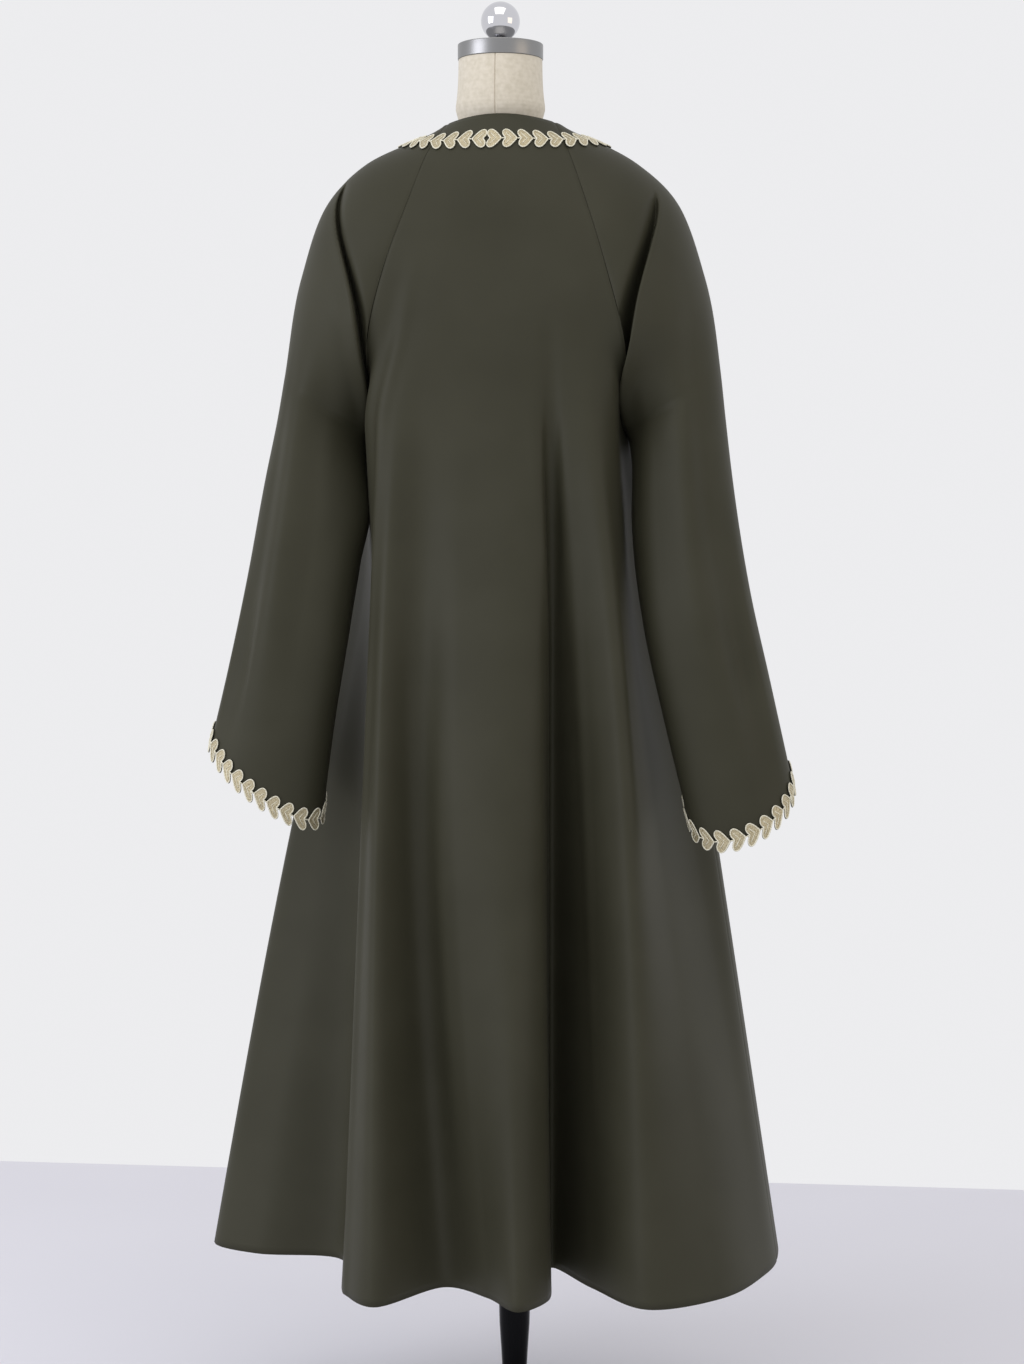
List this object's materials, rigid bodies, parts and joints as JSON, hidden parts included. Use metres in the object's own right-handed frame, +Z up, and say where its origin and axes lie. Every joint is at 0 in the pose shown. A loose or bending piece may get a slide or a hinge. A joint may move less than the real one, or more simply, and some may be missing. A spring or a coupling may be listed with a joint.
{
  "type": "abaya cloak and dress form",
  "caption": "Long open-front raglan cloak with flared skirt and heart-chain trim at neck and cuffs, hanging on a limbless dress form with a round base.",
  "frame": {"origin": "centre of the underside of the round base, on the floor", "axes": "+Z up, the cloak's back faces +Y and its open front faces -Y, so the wearer's left is +X"},
  "size_m": [0.7285, 0.5481, 1.7678],
  "materials": {
    "crepe": "smooth matte olive crepe with a faint sheen on the fold crests",
    "embroidery": "ivory cord and pale gold satin stitch",
    "linen": "cream plain-weave cover",
    "steel": "brushed round the neck",
    "chrome": "mirror polish",
    "lacquer": "gloss black"
  },
  "bodies": {
    "root": {"back": "crepe", "front_left": "crepe", "front_right": "crepe", "sleeve_left": "crepe", "sleeve_right": "crepe", "neck_trim": "embroidery", "cuff_trim_left": "embroidery", "cuff_trim_right": "embroidery", "form_torso": "linen", "neck_cap": "steel", "ball_finial": "chrome", "column": "lacquer", "base": "lacquer"}
  },
  "joints": []
}
